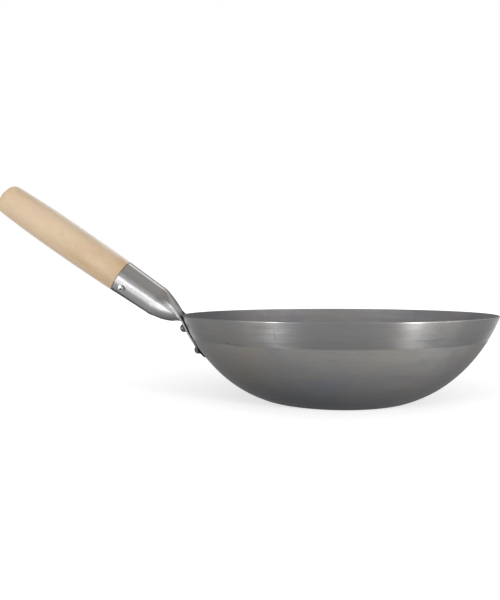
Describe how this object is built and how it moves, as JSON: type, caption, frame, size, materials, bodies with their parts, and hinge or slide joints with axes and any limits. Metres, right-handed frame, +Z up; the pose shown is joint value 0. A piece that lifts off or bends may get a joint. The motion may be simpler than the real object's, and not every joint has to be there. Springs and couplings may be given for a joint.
{
  "type": "carbon steel wok",
  "caption": "Flat-based carbon steel wok: a spun round bowl with a long raised wooden handle in a riveted, pressed-tube steel socket.",
  "frame": {"origin": "centre of the flat base, on the surface it stands on", "axes": "+Z up, out of the bowl's mouth; the handle leaves towards -X and rises; the part is mirror-even across the XZ plane but for one screw"},
  "size_m": [0.4875, 0.3048, 0.2109],
  "materials": {
    "bowl_steel": "raw spun carbon steel, dark grey, fine turning lines",
    "socket_steel": "brushed",
    "grip_wood": "pale turned wood, satin",
    "screw_steel": "bright",
    "rivet_steel": "dark, satin"
  },
  "bodies": {
    "root": {"bowl": "bowl_steel", "handle_socket": "socket_steel", "wood_grip": "grip_wood", "grip_screw": "screw_steel", "rivet_upper_left": "rivet_steel", "rivet_upper_right": "rivet_steel", "rivet_lower": "rivet_steel"}
  },
  "joints": []
}
